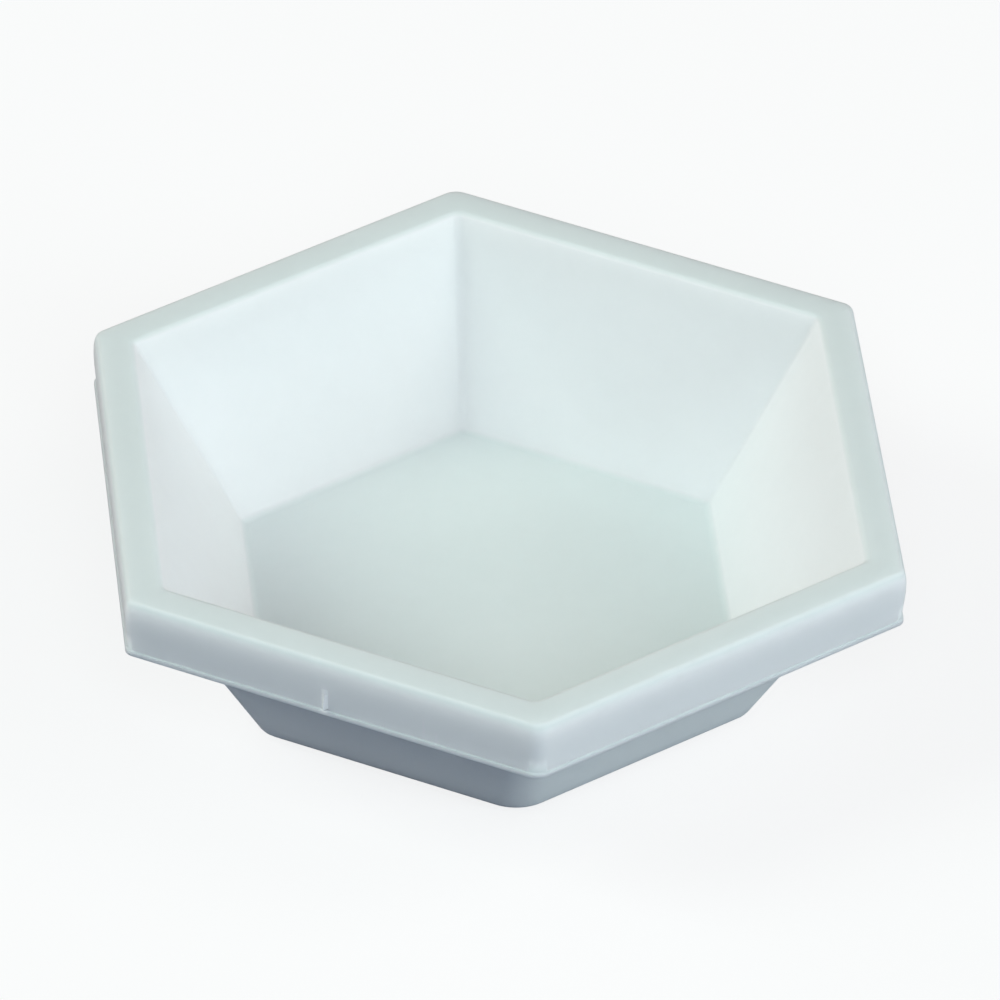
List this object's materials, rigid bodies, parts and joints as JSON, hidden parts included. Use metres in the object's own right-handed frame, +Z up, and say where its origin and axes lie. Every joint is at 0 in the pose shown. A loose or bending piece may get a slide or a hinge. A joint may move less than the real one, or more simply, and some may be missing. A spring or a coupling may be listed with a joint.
{
  "type": "weighing boat",
  "caption": "Thin six-sided weighing dish in milky plastic, with a flat floor, sloping walls, a flat flange and a rolled, turned-down lip.",
  "frame": {"origin": "middle of the underside of the base, on the surface that the boat stands on", "axes": "+Z up through the mouth, X across the two parallel side walls, Y from pouring tip to pouring tip"},
  "size_m": [0.064, 0.0734, 0.0184],
  "materials": {
    "milky_plastic": "satin, slightly translucent"
  },
  "bodies": {
    "root": {"weighing_boat": "milky_plastic"}
  },
  "joints": []
}
